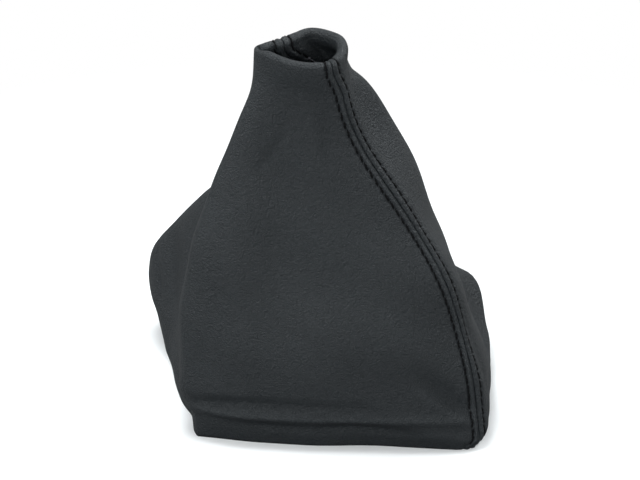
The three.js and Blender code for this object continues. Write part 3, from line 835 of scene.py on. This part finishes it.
# %% Close the seams, and sew the undersides
# The underside lies just below the face and the turned allowance
JOIN_LENGTH, JOIN_DEPTH, JOIN_PLY, JOIN_RISE, JOIN_DIP, JOIN_SLANT = 3.0, 0.85, 0.13, 0.1, 0.2, 0.2
UNDERSIDE, UNDER_PLY, UNDER_RISE, UNDER_DIP, UNDER_SLANT = 2 * FOLD_DEPTH + 0.25, 0.24, 0.2, 0.5, -0.1
for seed, (name, seam) in enumerate((("front_right_seam_joining_thread", FRONT_RIGHT),
                                     ("rear_left_seam_joining_thread", REAR_LEFT)), 10):
    row = by_place[seam, 1]
    count = int((row.along[-1] - THREAD_START - THREAD_STOP) / JOIN_LENGTH)
    lengths = np.linspace(THREAD_START, THREAD_START + (count - 1) * JOIN_LENGTH, 4 * count)
    points, outward = path_of(seam, 0, row.way(lengths), JOIN_DEPTH)
    piece = sew(name.replace("_thread", "_stitches"), points, outward, count, JOIN_LENGTH, JOIN_PLY,
                JOIN_RISE, JOIN_DIP, JOIN_SLANT, seed)
    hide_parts(name)

for seed, (name, row) in enumerate(stitch_rows.items(), 20):
    last = np.interp(2, WAYS, row.along)
    count = int((last - THREAD_START) / STITCH_LENGTH)
    lengths = THREAD_START + STITCH_LENGTH * np.linspace(0.5, count - 0.5, 5 * count)
    points, outward = path_of(row.seam, row.side * ROW_OFFSET, row.way(lengths), UNDERSIDE)
    sew(name.replace("topstitch_on", "bobbin_row_under"), points, -outward, count, STITCH_LENGTH,
        UNDER_PLY, UNDER_RISE, UNDER_DIP, UNDER_SLANT * row.side, seed)

# %% [markdown]
# ## Loose thread ends
# Where the rear left rows end, on the turned leather inside the collar, the threads are knotted and cut off
# by hand, and their frayed ends stand out pale against the dark. They could be combed with a hair system, but
# a handful of short bent tubes is lighter and stays where it is put.

# %% Knots and frayed ends inside the collar
END_LENGTH, END_STEPS, END_RADIUS, TUBE_SIDES, ENDS_AT_A_KNOT, ENDS_SEED = 5.5, 9, 0.1, 5, 3, 12
KNOT_RADIUS, KNOT_THREAD, KNOT_TURNS, KNOT_STEPS = 0.55, 0.17, 2.25, 40
KNOT_FROM_EDGE, KNOT_HEIGHT = 6.0, 0.4
frayed_finish, n = finish("frayed_thread")
principled(n, {"Base Color": (0.09, 0.09, 0.1, 1), "Roughness": 0.8, "Specular IOR Level": 0.1})


def tube(path, radius):
    """Corners and faces of a closed tube along a path."""
    ahead = unit(np.gradient(path, axis=0))
    # Any fixed way would do that no strand runs along
    aside = unit(np.cross(ahead, (0.31, 0.2, 0.93)))
    turns = np.linspace(0, 2 * math.pi, TUBE_SIDES, endpoint=False)[:, None]
    rings = path[:, None] + radius * (np.cos(turns) * aside[:, None]
                                      + np.sin(turns) * np.cross(ahead, aside)[:, None])
    corners = np.arange(len(path) * TUBE_SIDES).reshape(len(path), TUBE_SIDES)
    low, high = corners[:-1], corners[1:]
    walls = np.stack((low, np.roll(low, -1, 1), np.roll(high, -1, 1), high), -1).reshape(-1, 4)
    return rings.reshape(-1, 3), [*walls.tolist(), corners[0, ::-1].tolist(), corners[-1].tolist()]


def strands_at(knot, away):
    """A coil of thread, and the ends that stand out of it, each as a path and a radius."""
    turns = np.linspace(0, 2 * math.pi * KNOT_TURNS, KNOT_STEPS)[:, None]
    coil = np.hstack((np.cos(turns), np.sin(turns * 1.3), np.sin(turns) * 0.8))
    strands = [(knot + KNOT_RADIUS * coil, KNOT_THREAD)]
    for _ in range(ENDS_AT_A_KNOT):
        steps = away * 0.55 + UP * 0.5 + dice.normal(size=3) * 0.7 + np.cumsum(
            dice.normal(size=(END_STEPS, 3)) * 0.35, axis=0)
        strands.append((knot + np.cumsum(unit(steps), axis=0) * END_LENGTH / END_STEPS, END_RADIUS))
    return strands


dice = np.random.default_rng(ENDS_SEED)
corners, faces = np.empty((0, 3)), []
for side in (-1, 0, 1):
    row = by_place[REAR_LEFT, side or 1]
    way = row.way(row.along[-1:] - KNOT_FROM_EDGE)
    (knot,), (away,) = path_of(REAR_LEFT, side * ROW_OFFSET, way, -KNOT_HEIGHT)
    for path, radius in strands_at(knot, away):
        more, more_faces = tube(path, radius)
        faces += [[v + len(corners) for v in face] for face in more_faces]
        corners = np.concatenate((corners, more))
mesh = bpy.data.meshes.new("loose_thread_ends")
mesh.from_pydata((corners * MM).tolist(), [], faces)
mesh.materials.append(frayed_finish)
loose_ends = show("loose_thread_ends", mesh)
threads[FRONT_PANEL].append(loose_ends)
print("loose thread ends:", len(faces), "faces")

# %% [markdown]
# ## Studio
# A pale floor and a white surround, with six large soft lamps: one on each side, one above, two in front,
# low and high, and one behind on the right. White all round would be simpler, but it would light the black
# leather grey from every side. So floor and surround are white only to the camera, and duller to the light.
# Near the gaiter the floor is a real pale one, which keeps the soft shadow, and it fades to plain white.

# %% Floor and surround
FLOOR_RADIUS, FLOOR_SIDES, FADE_FROM, FADE_TO = 4.0, 64, 0.18, 0.45
FLOOR_PALE, FLOOR_GLOW, FLOOR_DULL, SURROUND = 0.85, 0.04, 0.22, 0.42


def grey(share):
    return share, share, share, 1


def seen_by_eye(n):
    """1 for rays from the camera, and 0 for rays that only carry light."""
    rays = n.tree.nodes.new("ShaderNodeLightPath").outputs
    return n.add("ShaderNodeClamp", None, {
        0: Signal(n, rays["Is Camera Ray"]) + Signal(n, rays["Is Transmission Ray"])})


floor_finish, n = finish("pale_floor")
away = n.add("ShaderNodeVectorMath", {"operation": "LENGTH"},
             {0: n.add("ShaderNodeTexCoord", out="Object")}, "Value")
far = n.add("ShaderNodeMapRange", {"interpolation_type": "SMOOTHSTEP"},
            {"Value": away, "From Min": FADE_FROM, "From Max": FADE_TO})
dull = n.add("ShaderNodeBsdfDiffuse", None, {"Color": grey(FLOOR_DULL)})
pale = n.add("ShaderNodeBsdfDiffuse", None, {"Color": grey(FLOOR_PALE)})
glow = n.add("ShaderNodeEmission", None, {"Color": grey(1), "Strength": FLOOR_GLOW})
near_floor = n.add("ShaderNodeAddShader", None, {0: pale, 1: glow})
white = n.add("ShaderNodeEmission", None, {"Color": grey(1), "Strength": 1.0})
faded = n.add("ShaderNodeMixShader", None, {0: far, 1: near_floor, 2: white})
n.add("ShaderNodeOutputMaterial", None, {"Surface": n.add(
    "ShaderNodeMixShader", None, {0: seen_by_eye(n), 1: dull, 2: faded})})
floor_edge = [(FLOOR_RADIUS * math.cos(a), FLOOR_RADIUS * math.sin(a), 0)
              for a in np.linspace(0, 2 * math.pi, FLOOR_SIDES, endpoint=False)]
floor_mesh = bpy.data.meshes.new("floor")
floor_mesh.from_pydata(floor_edge, [], [tuple(range(FLOOR_SIDES))])
floor_mesh.materials.append(floor_finish)
floor = bpy.data.objects.new("floor", floor_mesh)
scene.collection.objects.link(floor)

world = bpy.data.worlds.new("studio")
scene.world = world
world.use_nodes = True
world.node_tree.nodes.clear()
n = Nodes(world.node_tree)
n.add("ShaderNodeOutputWorld", None, {"Surface": n.add("ShaderNodeMixShader", None, {
    0: seen_by_eye(n),
    1: n.add("ShaderNodeBackground", None, {"Color": grey(1), "Strength": SURROUND}),
    2: n.add("ShaderNodeBackground", None, {"Color": grey(1), "Strength": 1.0})})})
print("floor of", FLOOR_RADIUS, "m, fading to white by", FADE_TO, "m")

# %% Lamps, as place, size and power
LAMP_COLOUR = 0.95, 1.0, 1.02
LAMPS = {
    "left": ((-1.2, -0.1, 0.8), 0.7, 7.5),
    "top": ((-0.2, 0.3, 1.4), 0.5, 14),
    "low front": ((-0.2, -1.1, 0.15), 0.5, 5),
    "high front": ((-0.35, -1.15, 0.75), 0.6, 6),
    "right": ((1.1, 0.0, 0.8), 0.7, 3.8),
    "back right": ((0.8, 0.7, 0.9), 0.6, 8),
}
for name, (place, size, power) in LAMPS.items():
    lamp = bpy.data.objects.new(name, bpy.data.lights.new(name, "AREA"))
    lamp.data.size, lamp.data.energy, lamp.data.color = size, power, LAMP_COLOUR
    lamp.location = place
    lamp.rotation_euler = (AIM - Vector(place)).to_track_quat("-Z", "Y").to_euler()
    scene.collection.objects.link(lamp)
print("lamps:", ", ".join(LAMPS))
